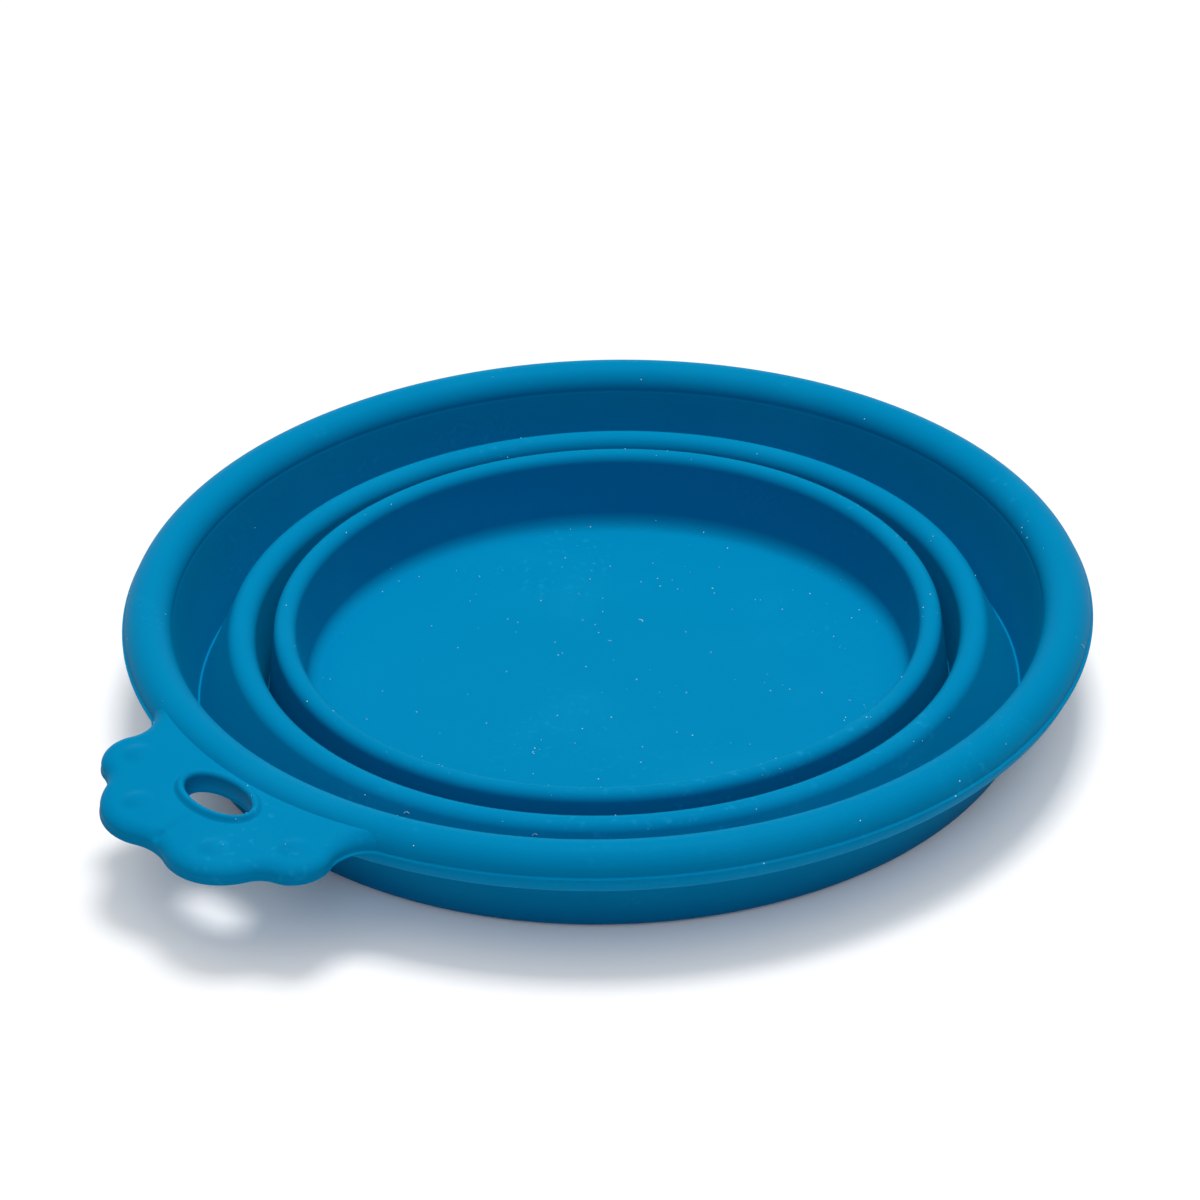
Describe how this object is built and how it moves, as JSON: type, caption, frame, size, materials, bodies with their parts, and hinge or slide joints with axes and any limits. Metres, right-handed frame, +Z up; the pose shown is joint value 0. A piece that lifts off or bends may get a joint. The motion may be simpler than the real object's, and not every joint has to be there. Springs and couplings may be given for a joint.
{
  "type": "collapsible_bowl",
  "caption": "A collapsible silicone bowl, folded flat, with concentric rings that slide up to form a deep bowl and a scalloped tab with an oval eyelet to hang it by.",
  "frame": {"origin": "centre of the base's underside, on the bowl's axis", "axes": "+Z up out of the mouth, the hang tab points along -Y, +X across it"},
  "size_m": [0.13, 0.1455, 0.0165],
  "materials": {
    "silicone": "matte blue silicone rubber with a soft sheen"
  },
  "bodies": {
    "base": {"base_floor": "silicone", "cup_wall": "silicone", "inner_ridge": "silicone", "inner_web": "silicone"},
    "middle_band": {"inner_fold": "silicone", "middle_wall": "silicone", "outer_ridge": "silicone", "outer_web": "silicone"},
    "rim_band": {"outer_fold": "silicone", "outer_wall": "silicone", "rim_bead": "silicone", "hang_tab": "silicone", "eyelet_lip": "silicone", "tab_dots": "silicone"}
  },
  "joints": [
    {"name": "inner_stage", "type": "slide", "parent": "base", "child": "middle_band", "axis": [0, 0, 1], "range_m": [0, 0.0178], "deforming": ["inner_web"]},
    {"name": "outer_stage", "type": "slide", "parent": "middle_band", "child": "rim_band", "axis": [0, 0, 1], "range_m": [0, 0.0165], "deforming": ["outer_web"]}
  ]
}
